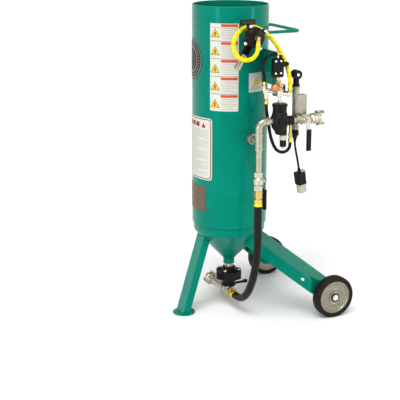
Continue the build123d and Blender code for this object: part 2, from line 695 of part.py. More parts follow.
# ---- Remote-control inlet valve and its bleed filter
def inlet_valve_body():
    """Globe body with two side ports, a capped front port, a flanged bonnet and a boss for the filter."""
    y = INLET_VALVE_Y
    top = INLET_VALVE_TOP
    port_low, port_high = INLET_VALVE_PORTS_Y
    profile = [(0, 912), (17, 912), (22, 926), (36, 944), (38, 960), (38, 996), (35, 1000), (35, 1008)]
    profile += [(32, 1012), (32, top - 16), (35, top - 13), (35, top - 4), (29, top), (0, top)]
    body = joined(
        turned(profile, at(RISER_X, y, 0)),
        rod((RISER_X, port_low, RISER_ELBOW_Z), (RISER_X, y, RISER_ELBOW_Z), 21),
        rod((RISER_X, y, INLET_RUN_Z), (RISER_X, port_high, INLET_RUN_Z), 22),
        rod((RISER_X, y, INLET_CAP_Z), (RISER_X + 43, y, INLET_CAP_Z), 19),
        rod((RISER_X, FILTER_Y, FILTER_Z[1]), (RISER_X, FILTER_Y, 950), 17),
    )
    body -= rod((RISER_X, y, 944), (RISER_X, y, 1042), PISTON_BORE_R)
    body -= rod((RISER_X, port_low - 1, RISER_ELBOW_Z), (RISER_X, y, RISER_ELBOW_Z), PIPE_34[1])
    body -= rod((RISER_X, port_low - 1, RISER_ELBOW_Z), (RISER_X, port_low + 12, RISER_ELBOW_Z), PIPE_34[0])
    body -= rod((RISER_X, y, INLET_RUN_Z), (RISER_X, port_high + 1, INLET_RUN_Z), PIPE_34[1])
    socket_start = (RISER_X, port_high - 12, INLET_RUN_Z)
    return body - rod(socket_start, (RISER_X, port_high + 1, INLET_RUN_Z), PIPE_34[0])


def inlet_valve_piston():
    """Seat disc, stem and piston that the signal air lifts."""
    profile = [(0, 948), (15, 948), (15, 956), (5, 958), (5, 1016)]
    profile += [(PISTON_R, 1016), (PISTON_R, 1028), (0, 1028)]
    return turned(profile, at(RISER_X, INLET_VALVE_Y, 0))


def bleed_filter():
    """Bleed muffler screwed into the foot of the inlet valve."""
    low, high = FILTER_Z
    profile = [(0, low), (6, low), (8, low + 10), (15, low + 12), (15, high - 25), (17, high - 23)]
    profile += [(17, high - 4), (10, high), (0, high)]
    return turned(profile, at(RISER_X, FILTER_Y, 0))


# ---- Exhaust valve
def exhaust_bolt_points():
    turns = [math.radians(EXHAUST_BOLT_TURN + 90 * index) for index in range(4)]
    radius = EXHAUST_BOLT_CIRCLE_R
    return [(EXHAUST_Y + radius * math.cos(turn), EXHAUST_Z + radius * math.sin(turn)) for turn in turns]


def outlet_point(distance):
    tilt = math.radians(EXHAUST_OUTLET_TILT)
    x = (EXHAUST_BACK_X + EXHAUST_SPLIT_X) / 2 + 6
    return (x, EXHAUST_Y - distance * math.sin(tilt), EXHAUST_Z - distance * math.cos(tilt))


def lugs(low_x, high_x, radius):
    """Webbed ears around the four bolts."""
    pieces = []
    for y, z in exhaust_bolt_points():
        pieces.append(rod((low_x, y, z), (high_x, y, z), radius))
        spoke = Vector(0, y - EXHAUST_Y, z - EXHAUST_Z)
        frame = Plane(origin=(low_x, EXHAUST_Y, EXHAUST_Z), x_dir=spoke, z_dir=X_AXIS)
        web = Pos(spoke.length / 2, 0, (high_x - low_x) / 2) * Box(spoke.length, 2 * radius, high_x - low_x)
        pieces.append(frame.location * web)
    return pieces


def bolt_holes(low_x, high_x):
    return joined(*[rod((low_x, y, z), (high_x, y, z), 4) for y, z in exhaust_bolt_points()])


def exhaust_valve_body():
    """Back half of the diaphragm valve, with the pipe's port behind it and the outlet below."""
    back, split = EXHAUST_BACK_X, EXHAUST_SPLIT_X
    outlet_end = EXHAUST_OUTLET_END
    profile = [(0, 0), (24, 0), (30, 4), (44, 8), (44, split - back), (0, split - back)]
    body = joined(
        turned(profile, at(back, EXHAUST_Y, EXHAUST_Z, X_AXIS)),
        *lugs(split - 12, split, 9),
        rod(outlet_point(10), outlet_point(outlet_end), 20),
    )
    body -= rod((back - 1, EXHAUST_Y, EXHAUST_Z), (split - 6, EXHAUST_Y, EXHAUST_Z), PIPE_34[1])
    body -= rod((back - 10, EXHAUST_Y, EXHAUST_Z), (back + 12, EXHAUST_Y, EXHAUST_Z), PIPE_34[0])
    body -= rod(outlet_point(outlet_end - 14), outlet_point(outlet_end + 6), 16)
    body -= rod(outlet_point(0), outlet_point(outlet_end + 6), 12.5)
    body -= block((split, -200, 1200), (300, 200, 1500))
    return body - bolt_holes(split - 13, split + 1)


def exhaust_valve_cap():
    split, front = EXHAUST_SPLIT_X, EXHAUST_FRONT_X
    depth = front - split
    profile = [(0, 0), (47, 0), (47, 12), (44, 19), (36, 25), (24, depth - 4), (14, depth - 2)]
    profile += [(14, depth), (0, depth)]
    body = joined(turned(profile, at(split, EXHAUST_Y, EXHAUST_Z, X_AXIS)), *lugs(split, split + 14, 9))
    return body - bolt_holes(split - 1, front)


def exhaust_pipe():
    return rod(outlet_point(EXHAUST_OUTLET_END - 14), outlet_point(EXHAUST_PIPE_END), 16, 12.5)


def valve_tag():
    """Blank identification tag held under the exhaust valve's upper bolt."""
    y, z = exhaust_bolt_points()[1]
    low_x = EXHAUST_SPLIT_X + 14
    plate = block((low_x, TAG_Y[0], TAG_Z[0]), (low_x + 2, TAG_Y[1], TAG_Z[1]))
    plate += block((low_x, y - 8, z), (low_x + 2, y + 8, TAG_Z[0] + 1))
    plate += rod((low_x, y, z), (low_x + 2, y, z), 8)
    return plate - rod((low_x - 1, y, z), (low_x + 3, y, z), 4)


# ---- Screws
def domed_screw(start, end, shank_r, head_r, head_t):
    """Screw along an axis: shank between two points, domed head beyond the second."""
    run = Vector(*end) - Vector(*start)
    length = run.length
    profile = [(0, 0), (shank_r, 0), (shank_r, length), (head_r, length), (head_r, length + head_t * 0.5)]
    profile += [(head_r * 0.6, length + head_t), (0, length + head_t)]
    return turned(profile, at(*start, direction=run))


def block_screw_points():
    y_low, y_high = BLOCK_Y
    z_low, z_high = BLOCK_Z
    return [(y, z) for y in (y_low + 11, y_high - 14) for z in (z_low + 18, z_high - 12)]


def screws_and_bolts():
    tag_index = 1
    front = EXHAUST_SPLIT_X + 14
    screws = []
    for index, (y, z) in enumerate(exhaust_bolt_points()):
        head_x = front + 2 if index == tag_index else front
        screws.append(domed_screw((EXHAUST_SPLIT_X - 12, y, z), (head_x, y, z), 4, 8, 8))
    for x, y in media_bolt_points():
        screws.append(domed_screw((x, y, MEDIA_Z[1] - 40), (x, y, MEDIA_Z[1] - 14), 4, 8, 7))
    for y, z in block_screw_points():
        screws.append(domed_screw((BLOCK_X[1] - 14, y, z), (BLOCK_X[1], y, z), 2.5, 5, 4))
    elbow_x = CONDUIT_X + 19
    screws.append(
        domed_screw((elbow_x - 8, CONDUIT_Y, CONNECTOR_Z), (elbow_x, CONDUIT_Y, CONNECTOR_Z), 3, 7, 4)
    )
    return screws


# ---- Electric control: bracket, solenoid block, signal manifold
def control_bracket():
    """Plate welded to the shell that carries the solenoid block, and an arm to the conduit body."""
    plate = block((140, BRACKET_Y[0], BRACKET_Z[0]), (BLOCK_X[0], BRACKET_Y[1], BRACKET_Z[1]))
    arm = block((248, BRACKET_Y[1] - 1, 1082), (268, CONDUIT_Y - 4, 1098))
    foot = block((248, BRACKET_Y[0], 1082), (268, BRACKET_Y[1], BRACKET_Z[0] + 5))
    column = rod((CONDUIT_X, CONDUIT_Y, 1000), (CONDUIT_X, CONDUIT_Y, 1200), CONDUIT_R)
    return joined(plate, foot, arm) - outer_envelope() - column


def solenoid_block():
    low = (BLOCK_X[0], BLOCK_Y[0], BLOCK_Z[0])
    high = (BLOCK_X[1], BLOCK_Y[1], BLOCK_Z[1])
    body = fillet(block(low, high).edges().filter_by(Axis.X), 6)
    x = BLOCK_X[0] + 12
    coil_z = BLOCK_Z[1] - 28
    end_y = BLOCK_Y[1]
    coil = rod((x, end_y - 2, coil_z), (x, end_y + 22, coil_z), 11)
    knob = hex_rod((x, end_y + 22, coil_z), (x, end_y + 30, coil_z), 15)
    cap = rod((x, end_y - 10, BLOCK_Z[1] - 6), (x, end_y - 10, BLOCK_Z[1] + 16), 7)
    body = joined(body, coil, knob, cap)
    for y, z in block_screw_points():
        body -= rod((BLOCK_X[1] - 14, y, z), (BLOCK_X[1] + 1, y, z), 2.5)
    return body


def manifold_barrel():
    """Upright barrel of the manifold with a collar at each end."""
    x, y = RISER_X, MANIFOLD_Y
    low, high = MANIFOLD_Z
    return joined(
        rod((x, y, low), (x, y, high), 13),
        rod((x, y, low), (x, y, low + 12), 15),
        rod((x, y, high - 12), (x, y, high), 15),
    )


def signal_manifold():
    """Small fittings above the inlet valve that share out the control air."""
    x, y = RISER_X, MANIFOLD_Y
    low, high = MANIFOLD_Z
    arm_z = low + 20
    bend_up = (ARM_X, ARM_UP_Y, arm_z + 12)
    bend_down = (ARM_X, ARM_DOWN_Y, arm_z - 14)
    body = joined(
        manifold_barrel(),
        hex_rod((x, y, INLET_VALVE_TOP), (x, y, INLET_VALVE_TOP + 12), 17),
        rod((x, y, INLET_VALVE_TOP + 6), (x, y, low + 6), 7),
        rod((x, y, arm_z - 6), (x, VENT_ARM_Y, arm_z - 14), 8),
        rod((x, VENT_ARM_Y, VENT_ARM_Z[0]), (x, VENT_ARM_Y, VENT_ARM_Z[1]), 11),
        rod((x, y, arm_z), bend_up, 9.5),
        hex_rod((x - 4.4, y - 13, arm_z + 2.4), (x - 9.2, y - 28, arm_z + 5), 20),
        Pos(*bend_up) * Sphere(11),
        rod(bend_up, (ARM_X, ARM_UP_Y, ARM_UP_Z[0]), 11),
        rod(bend_up, bend_down, 11),
        Pos(*bend_down) * Sphere(11),
        rod(bend_down, (ARM_X, ARM_DOWN_Y, ARM_DOWN_Z[1]), 11),
        rod((x, y, PETCOCK_Z), (x + 20, y + 6, PETCOCK_Z), 7),
    )
    stem_hole = rod((x + 12, y + 3.6, PETCOCK_Z), (x + 21, y + 6.3, PETCOCK_Z), 3.4)
    return body - stem_hole


def bronze_muffler():
    """Sintered exhaust muffler on the manifold's front port."""
    place = at(RISER_X + 9, MANIFOLD_Y - 10, MANIFOLD_Z[1] - 8, (0.42, -0.9, -0.15))
    profile = [(0, 0), (8, 0), (8, 9), (17, 12), (20, 24), (19, 37), (12, 46), (0, 48)]
    return turned(profile, place) - manifold_barrel()


def petcock_lever():
    x, y = RISER_X, MANIFOLD_Y
    shank = rod((x + 12.6, y + 3.8, PETCOCK_Z), (x + 26, y + 7.8, PETCOCK_Z), 3)
    blade = at(x + 24, y + 7.2, PETCOCK_Z, (20, 6, 0)) * Pos(0, 0, 1.5) * Box(9, 34, 3)
    return shank + blade


# ---- Hose fittings
def hose_ends():
    """Brass hose ends: hexagon, shank and the barb inside each ferrule."""
    x = RISER_X
    pusher_top = joined(
        rod((x, 0, HOSE_END_Z[0] - FERRULE_T), (x, 0, HOSE_END_Z[1] + SOCKET_DEPTH - 3), PIPE_34[0]),
        rod((x, 0, HOSE_END_Z[0]), (x, 0, HOSE_END_Z[0] + 18), 19),
        hex_rod((x, 0, HOSE_END_Z[0] + 22), (x, 0, HOSE_END_Z[1] - 2), 34),
    )
    tee_end = BRANCH_R + 8
    pusher_foot = joined(
        rod((tee_end - SOCKET_DEPTH, 0, RUN_Z), (tee_end + 10, 0, RUN_Z), PIPE_114[0]),
        rod((tee_end, 0, RUN_Z), (76, 0, RUN_Z), PIPE_34[0]),
        hex_rod((tee_end, 0, RUN_Z), (tee_end + 12, 0, RUN_Z), 42),
        rod((tee_end + 12, 0, RUN_Z), (60, 0, RUN_Z), 18),
    )
    front = EXHAUST_FRONT_X
    elbow_x, vent_y = VENT_ELBOW_X, VENT_ELBOW_Y
    vent_top = joined(
        rod((front, vent_y, EXHAUST_Z), (elbow_x + 8, vent_y, EXHAUST_Z), 8),
        hex_rod((front, vent_y, EXHAUST_Z), (front + 7, vent_y, EXHAUST_Z), 17),
        rod((elbow_x, vent_y, EXHAUST_Z), (elbow_x, vent_y, EXHAUST_Z - 37), 6),
        hex_rod((elbow_x, vent_y, EXHAUST_Z - 6), (elbow_x, vent_y, EXHAUST_Z - 15), 17),
    )
    vent_z = VENT_ARM_Z[1]
    vent_foot = rod((x, VENT_ARM_Y, vent_z), (x, VENT_ARM_Y, vent_z + 18), 6)
    vent_foot += hex_rod((x, VENT_ARM_Y, vent_z), (x, VENT_ARM_Y, vent_z + 5), 18)
    riser_y = MANIFOLD_Y - 6
    riser_z = MANIFOLD_Z[1]
    riser = rod((x, riser_y, riser_z), (x, riser_y, BLOCK_Z[0]), 6)
    riser += hex_rod((x, riser_y, riser_z + 6), (x, riser_y, riser_z + 18), 15)
    loop_foot = joined(
        rod((x, LOOP_FOOT_Y, LOOP_FOOT_Z), (x, LOOP_FOOT_Y, 950), 5.5),
        hex_rod((x, LOOP_FOOT_Y, LOOP_FOOT_Z + 28), (x, LOOP_FOOT_Y, LOOP_FOOT_Z + 42), 16),
        rod((x, LOOP_FOOT_Y, LOOP_FOOT_Z + 42), (x, LOOP_FOOT_Y, 950), 7),
    )
    arm_up = rod((ARM_X, ARM_UP_Y, ARM_UP_Z[0]), (ARM_X, ARM_UP_Y, ARM_UP_Z[1]), 5.5)
    arm_down = rod((ARM_X, ARM_DOWN_Y, ARM_DOWN_Z[0]), (ARM_X, ARM_DOWN_Y, ARM_DOWN_Z[1]), 5.5)
    arm_down += hex_rod((ARM_X, ARM_DOWN_Y, ARM_DOWN_Z[1] - 9), (ARM_X, ARM_DOWN_Y, ARM_DOWN_Z[1]), 17)
    cap_y = BLOCK_Y[1] - 10
    supply_z = SUPPLY_FERRULE_Z
    supply_end = rod((SUPPLY_X, cap_y, supply_z), (SUPPLY_X, SUPPLY_FERRULE_Y, supply_z), 5.5)
    supply_end += rod((SUPPLY_X, cap_y, supply_z - 5), (SUPPLY_X, cap_y, supply_z + 5.5), 6.5)
    return [
        pusher_top - rod((x, 0, 500), (x, 0, 700), 8),
        pusher_foot - rod((0, 0, RUN_Z), (80, 0, RUN_Z), 8),
        vent_top,
        vent_foot,
        riser - solenoid_block(),
        loop_foot - inlet_valve_body(),
        arm_up,
        arm_down,
        supply_end - solenoid_block(),
    ]


def ferrule(start, end, radius, bore):
    """Crimped collar over a hose end, with a rounded bead."""
    run = Vector(*end) - Vector(*start)
    length = run.length
    profile = [(bore, 0), (radius - 1, 0), (radius, 1.5), (radius, length * 0.6)]
    profile += [(radius - 1.5, length * 0.7), (radius - 1.5, length), (bore, length)]
    return turned(profile, at(*start, direction=run))


def hose_ferrules():
    x = RISER_X
    vent_x, vent_y = VENT_ELBOW_X, VENT_ELBOW_Y
    vent_z = EXHAUST_Z - 37
    foot_z = VENT_ARM_Z[1]
    up_z = ARM_UP_Z[1]
    down_z = ARM_DOWN_Z[0]
    supply_z = SUPPLY_FERRULE_Z
    supply_y = SUPPLY_FERRULE_Y
    return [
        ferrule((x, 0, FERRULE_Z), (x, 0, HOSE_END_Z[0]), 21.5, PIPE_34[0]),
        ferrule((76, 0, RUN_Z), (60, 0, RUN_Z), 21.5, PIPE_34[0]),
        ferrule((vent_x, vent_y, vent_z), (vent_x, vent_y, vent_z + 22), 11, 6),
        ferrule((x, VENT_ARM_Y, foot_z + 18), (x, VENT_ARM_Y, foot_z + 5), 11, 6),
        ferrule((ARM_X, ARM_UP_Y, up_z), (ARM_X, ARM_UP_Y, up_z - 14), 9.5, 5.5),
        ferrule((ARM_X, ARM_DOWN_Y, down_z), (ARM_X, ARM_DOWN_Y, down_z + 16), 9.5, 5.5),
        ferrule((x, LOOP_FOOT_Y, LOOP_FOOT_Z), (x, LOOP_FOOT_Y, LOOP_FOOT_Z + 26), 9.5, 5.5),
        ferrule((SUPPLY_X, supply_y, supply_z), (SUPPLY_X, supply_y + 13, supply_z), 9.5, 5.5),
    ]


# ---- Conduit body, cord grips and plug
def conduit_body():
    low, high = CONDUIT_Z
    box_low, box_high = CONDUIT_BOX_Z
    front = CONDUIT_Y + 48
    box = block((CONDUIT_X - 16, CONDUIT_Y - 4, box_low), (CONDUIT_X + 16, front, box_high))
    box = fillet(box.edges().filter_by(Axis.Z), 5)
    cover = block((CONDUIT_X - 13, front, box_low + 4), (CONDUIT_X + 13, front + 3, box_high - 4))
    x, y = CONDUIT_X, CONDUIT_Y
    column = rod((x, y, low), (x, y, high), CONDUIT_R)
    collars = [rod((x, y, z), (x, y, z + 14), CONDUIT_R + 2) for z in (low, high - 14)]
    hollow = rod((CONDUIT_X, CONDUIT_Y, low - 1), (CONDUIT_X, CONDUIT_Y, high + 1), 10)
    return joined(column, box, cover, *collars) - hollow


def cord_grips():
    """Angle connector on top of the conduit body, and the strain relief below it."""
    x, y = CONDUIT_X, CONDUIT_Y
    low, high = CONDUIT_Z
    top = joined(
        rod((x, y, high - 12), (x, y, high), 10),
        rod((x, y, high), (x, y, high + 40), 14),
        rod((x, y, high), (x, y, high + 10), 17),
        rod((x - 17, y, CONNECTOR_Z), (x + 19, y, CONNECTOR_Z), 21),
    )
    top -= rod((x + 11, y, CONNECTOR_Z), (x + 20, y, CONNECTOR_Z), 3)
    profile = [(5, 0), (11, 0), (14, 8), (18, 12), (18, 28), (16, 30), (16, 39), (10, 39), (10, 50), (5, 50)]
    return [top, at(x, y, low - 39) * turned(profile)]


def plug():
    """Cord connector: dark body, pale face and a cord clamp, along the hanging cord's line."""
    place = Plane(origin=PLUG_TOP, x_dir=X_AXIS, z_dir=PLUG_AXIS).location
    width, depth, body_end = PLUG_BODY
    face_end = body_end + 41
    body = extrude(RectangleRounded(width, depth, 10), body_end)
    body = fillet(body.edges().group_by(Axis.Z)[0], 5)
    clamp = block((-13, -depth / 2 - 4, -6), (13, -4, 24)) - body
    clamp -= rod((0, 0, -7), (0, 0, 25), PIGTAIL_R + 1)
    body -= rod((0, 0, -1), (0, 0, body_end), PIGTAIL_R)
    face = turned(
        [(0, body_end), (PLUG_FACE_R, body_end), (PLUG_FACE_R, face_end - 2), (21, face_end), (0, face_end)]
    )
    for side in (-1, 1):
        face -= block((-8, side * 7 - 1, face_end - 14), (1, side * 7 + 1, face_end + 1))
    face -= rod((6, 0, face_end - 14), (6, 0, face_end + 1), 2.6)
    return [place * body, place * face, place * clamp]


# ---- Hose and cord routes
PUSHER_ROUTE = [
    (300, 0, 586), (300, 0, 530), (302, 0, 470), (302, 0, 410), (296, 0, 350), (284, 0, 292),
    (266, 0, 235), (240, 0, 180), (205, 0, 130), (162, 0, 94), (118, 0, 76), (76, 0, 76),
]
VENT_ROUTE = [
    (292, -7, 1312), (292, -7, 1294), (292, -22, 1269), (291, -47, 1256), (288, -76, 1257),
    (281, -101, 1272), (271, -114, 1297), (258, -113, 1325), (244, -99, 1350), (229, -76, 1370),
    (215, -48, 1384), (206, -18, 1392), (202, 13, 1391), (204, 45, 1380), (211, 76, 1359),
    (222, 104, 1329), (238, 126, 1292), (256, 141, 1253), (274, 150, 1214), (289, 154, 1178),
    (300, 154, 1148), (300, 154, 1120),
]
LOOP_ROUTE = [
    (278, 46, 1051), (278, 46, 1031), (275, 51, 1008), (269, 59, 985), (264, 66, 962), (262, 70, 940),
    (263, 73.5, 918), (267, 77, 896), (273, 81.5, 874), (281, 87, 854), (288, 97.6, 835.6),
    (294, 114.3, 826), (298, 133.7, 826), (300, 150.4, 835.6), (300, 160, 852.3), (300, 160, 870),
]
SUPPLY_ROUTE = [
    (278, 36, 1152), (278, 36, 1171), (280, 27, 1194), (282, 20, 1219), (285, 25, 1244),
    (289, 42, 1268), (291, 64, 1277), (291, 88, 1277),
]
PIGTAIL_ROUTE = [
    (258, 208, 880), (258, 208, 850), (258, 214.5, 816), (258, 222.5, 781), (258, 230.06, 745.5), PLUG_TOP,
]


def write_parts():
    """Every piece of the pot, by node name."""
    parts = {
        "pressure_shell": pressure_shell(),
        "collar": collar(),
        "top_head": top_head(),
        "bottom_head": bottom_head(),
        "port_ring": port_ring(),
        "popup_plunger": popup_plunger(),
        "popup_pipe": popup_pipe(),
        "vessel_bosses": vessel_bosses(),
        "data_plate": data_plate(),
        "front_leg": front_leg(),
        "foot_pad": foot_pad(),
        "rear_leg_right": rear_leg_right(),
        "rear_leg_left": mirror(rear_leg_right(), about=Plane.YZ),
        "push_handle": push_handle(),
        "axle_bolts": [axle_bolt(1), axle_bolt(-1)],
        "media_valve_body": media_valve_body(),
        "media_valve_lever": media_valve_lever(),
        "mixing_tee": mixing_tee(),
        "blast_coupling": blast_coupling(),
        "gaskets": gaskets(),
        "pipe_nipples": pipe_nipples(),
        "branch_union": branch_union(),
        "inlet_tee": inlet_tee(),
        "riser_elbow": riser_elbow(),
        "choke_valve_body": CHOKE_PLACE * ball_valve_body(CHOKE_Z[1] - CHOKE_Z[0]),
        "choke_valve_ball": CHOKE_PLACE * valve_ball(Z_AXIS, 44),
        "choke_valve_lever": [CHOKE_PLACE * piece for piece in valve_lever(CHOKE_LEVER_X, 138)],
        "air_valve_body": AIR_VALVE_PLACE * ball_valve_body(AIR_VALVE_Y[1] - AIR_VALVE_Y[0]),
        "air_valve_ball": AIR_LEVER_PLACE * valve_ball(Z_AXIS, 52),
        "air_valve_lever": [
            AIR_LEVER_PLACE * piece for piece in valve_lever(AIR_LEVER_X, 140, AIR_LEVER_SIDE)
        ],
        "air_coupling": air_coupling(),
        "inlet_valve_body": inlet_valve_body(),
        "inlet_valve_piston": inlet_valve_piston(),
        "bleed_filter": bleed_filter(),
        "exhaust_valve_body": exhaust_valve_body(),
        "exhaust_valve_cap": exhaust_valve_cap(),
        "exhaust_pipe": exhaust_pipe(),
        "valve_tag": valve_tag(),
        "screws_and_bolts": screws_and_bolts(),
        "control_bracket": control_bracket(),
        "solenoid_block": solenoid_block(),
        "signal_manifold": signal_manifold(),
        "bronze_muffler": bronze_muffler(),
        "petcock_lever": petcock_lever(),
        "hose_ends": hose_ends(),
        "hose_ferrules": hose_ferrules(),
        "conduit_body": conduit_body(),
        "cord_grips": cord_grips(),
        "plug": plug(),
        "pusher_hose": cord(PUSHER_ROUTE, PUSHER_R, "pusher_hose"),
        "vent_hose": cord(VENT_ROUTE, VENT_R, "vent_hose"),
        "loop_hose": cord(LOOP_ROUTE, SIGNAL_R, "loop_hose"),
        "supply_hose": cord(SUPPLY_ROUTE, SIGNAL_R, "supply_hose"),
        "pigtail_cord": cord(PIGTAIL_ROUTE, PIGTAIL_R, "pigtail_cord"),
    }
    for side, name in ((1, "right"), (-1, "left")):
        parts[f"tyre_{name}"] = tyre(side)
        parts[f"rim_{name}"] = rim(side)
        parts[f"bush_{name}"] = bush(side)

    os.makedirs("parts", exist_ok=True)
    for node, shape in parts.items():
        pieces = shape if isinstance(shape, list) else [shape]
        solids = [solid for piece in pieces for solid in piece.solids()]
        whole = Compound(children=[FRAME_SHIFT * solid for solid in solids])
        export_step(whole, f"parts/{node}.step")


write_parts()
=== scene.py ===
"""Portable abrasive blast pot: camera, hoses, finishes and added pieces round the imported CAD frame."""

import json
import math

import bmesh
import bpy
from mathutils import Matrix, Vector


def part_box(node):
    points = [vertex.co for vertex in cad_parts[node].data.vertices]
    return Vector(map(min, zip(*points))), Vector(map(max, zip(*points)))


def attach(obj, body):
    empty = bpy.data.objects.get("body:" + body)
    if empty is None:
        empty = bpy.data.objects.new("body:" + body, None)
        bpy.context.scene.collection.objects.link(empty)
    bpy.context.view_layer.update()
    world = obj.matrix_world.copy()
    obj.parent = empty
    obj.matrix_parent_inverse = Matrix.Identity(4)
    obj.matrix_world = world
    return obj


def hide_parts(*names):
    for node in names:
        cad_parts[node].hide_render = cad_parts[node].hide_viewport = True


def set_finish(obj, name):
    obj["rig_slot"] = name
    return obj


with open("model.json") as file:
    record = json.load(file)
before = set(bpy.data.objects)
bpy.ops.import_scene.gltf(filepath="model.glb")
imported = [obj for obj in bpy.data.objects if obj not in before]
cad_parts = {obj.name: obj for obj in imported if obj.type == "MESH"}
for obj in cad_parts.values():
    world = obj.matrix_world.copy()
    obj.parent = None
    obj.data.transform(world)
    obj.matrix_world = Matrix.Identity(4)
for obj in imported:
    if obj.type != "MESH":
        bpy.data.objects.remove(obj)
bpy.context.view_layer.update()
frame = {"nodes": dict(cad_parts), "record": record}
NODES = frame["nodes"]
SCENE = bpy.context.scene
MM = 0.001
POT = "pot"

# ---- Places read from the frame
SHELL_LOW, SHELL_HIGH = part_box("pressure_shell")
AXIS_Y = (SHELL_LOW.y + SHELL_HIGH.y) / 2
SHELL_R = (SHELL_HIGH.x - SHELL_LOW.x) / 2


def mm(x, y, z):
    """A point given in millimetres from the vessel's axis, in the frame's metres."""
    return Vector((x * MM, AXIS_Y + y * MM, z * MM))


# ---- Camera at the photograph's viewing angle
CAMERA_PLACE = (4.512, -2.3095, 1.9496)
CAMERA_TURN = (75, 0, 65.5)
CAMERA_LENS = 97.4
CAMERA_SHIFT_Y = -0.033


def make_camera():
    data = bpy.data.cameras.new("camera")
    data.sensor_width = 36
    data.lens = CAMERA_LENS
    data.shift_y = CAMERA_SHIFT_Y
    camera = bpy.data.objects.new("camera", data)
    camera.location = CAMERA_PLACE
    camera.rotation_euler = [math.radians(degrees) for degrees in CAMERA_TURN]
    SCENE.collection.objects.link(camera)
    SCENE.camera = camera


make_camera()

# ---- Hoses and cord: route points in millimetres from the vessel's axis
PUSHER_ROUTE = [
    (300, 0, 586), (300, 0, 530), (302, 0, 470), (302, 0, 410), (296, 0, 350), (284, 0, 292),
    (266, 0, 235), (240, 0, 180), (205, 0, 130), (162, 0, 94), (118, 0, 76), (76, 0, 76),
]
VENT_ROUTE = [
    (292, -7, 1312), (292, -7, 1294), (292, -22, 1269), (291, -47, 1256), (288, -76, 1257),
    (281, -101, 1272), (271, -114, 1297), (258, -113, 1325), (244, -99, 1350), (229, -76, 1370),
    (215, -48, 1384), (206, -18, 1392), (202, 13, 1391), (204, 45, 1380), (211, 76, 1359),
    (222, 104, 1329), (238, 126, 1292), (256, 141, 1253), (274, 150, 1214), (289, 154, 1178),
    (300, 154, 1148), (300, 154, 1120),
]
LOOP_ROUTE = [
    (278, 46, 1051), (278, 46, 1031), (275, 51, 1008), (269, 59, 985), (264, 66, 962), (262, 70, 940),
    (263, 73.5, 918), (267, 77, 896), (273, 81.5, 874), (281, 87, 854), (288, 97.6, 835.6),
    (294, 114.3, 826), (298, 133.7, 826), (300, 150.4, 835.6), (300, 160, 852.3), (300, 160, 870),
]
SUPPLY_ROUTE = [
    (278, 36, 1152), (278, 36, 1171), (280, 27, 1194), (282, 20, 1219), (285, 25, 1244),
    (289, 42, 1268), (291, 64, 1277), (291, 88, 1277),
]
PLUG_TOP = (258, 236, 712)
PLUG_AXIS = Vector((0, 0.1745, -0.9847))
PLUG_SIDE = Vector((0, 0.9847, 0.1745))
PIGTAIL_ROUTE = [
    (258, 208, 880), (258, 208, 850), (258, 214.5, 816), (258, 222.5, 781), (258, 230.06, 745.5), PLUG_TOP,
]

HELD = {"far_end": "object", "stiffness": "stiff"}
WITH_PLUG = {"far_end": "plug", "stiffness": "medium", "with_pieces": [NODES["plug"]]}
# Piece, node, slot, route, radius in millimetres, length in metres, and how the far end is held
HOSES = (
    ("pusher_hose_rubber", "pusher_hose", "pusher_hose_rubber", PUSHER_ROUTE, 18, 0.621, HELD),
    ("vent_hose_tube", "vent_hose", "yellow_hose", VENT_ROUTE, 9.5, 0.702, HELD),
    ("loop_hose_tube", "loop_hose", "black_hose", LOOP_ROUTE, 7.5, 0.323, HELD),
    ("supply_hose_tube", "supply_hose", "black_hose", SUPPLY_ROUTE, 7.5, 0.171, HELD),
    ("pigtail_cord_jacket", "pigtail_cord", "cord_jacket", PIGTAIL_ROUTE, 5, 0.171, WITH_PLUG),
)


def make_hose(name, node, slot_name, route, radius, length, far_end):
    """A hose as a smooth curve through its route, standing for its CAD tube."""
    data = bpy.data.curves.new(name, "CURVE")
    data.dimensions = "3D"
    # With a bevel of one metre, a point's radius is the tube's radius in metres
    data.bevel_depth = 1.0
    data.bevel_resolution = 8
    data.resolution_u = 10
    data.use_fill_caps = True
    spline = data.splines.new("NURBS")
    spline.points.add(len(route) - 1)
    for point, place in zip(spline.points, route):
        point.co = (*mm(*place), 1)
        point.radius = radius * MM
    spline.order_u = 3
    spline.use_endpoint_u = True
    piece = bpy.data.objects.new(name, data)
    SCENE.collection.objects.link(piece)
    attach(piece, POT)
    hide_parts(node)
    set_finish(piece, slot_name)
    return piece


hose_pieces = [make_hose(*hose) for hose in HOSES]


# ---- Finishes
# Half width in metres of the line between two colours on one node
COLOUR_SEAM = 0.0002
# Heights above the floor, in millimetres, where a node's colour changes
FILTER_TIP_Z = 853.5
FILTER_CAP_Z = 885
GRIP_TOP_Z = {"choke_valve_lever": 662.5, "air_valve_lever": 931}
# Distances from the plug's top, in millimetres, back and forward along it and out to its clamp
PLUG_BACK = 0.3
PLUG_FACE = 57
PLUG_CLAMP = 22.3


def linear(red, green, blue):
    """A colour given as on a screen, 0 to 255, as the shader's linear values."""
    channels = [value / 255 for value in (red, green, blue)]
    return tuple(c / 12.92 if c <= 0.04045 else ((c + 0.055) / 1.055) ** 2.4 for c in channels)


def scaled(colour, factor):
    """A colour made darker or paler by a factor."""
    return tuple(min(1.0, channel * factor) for channel in colour)


def height_in(node, z):
    """A height given in millimetres above the floor, in the node's own space."""
    return (node.matrix_world.inverted() @ mm(0, 0, z)).z


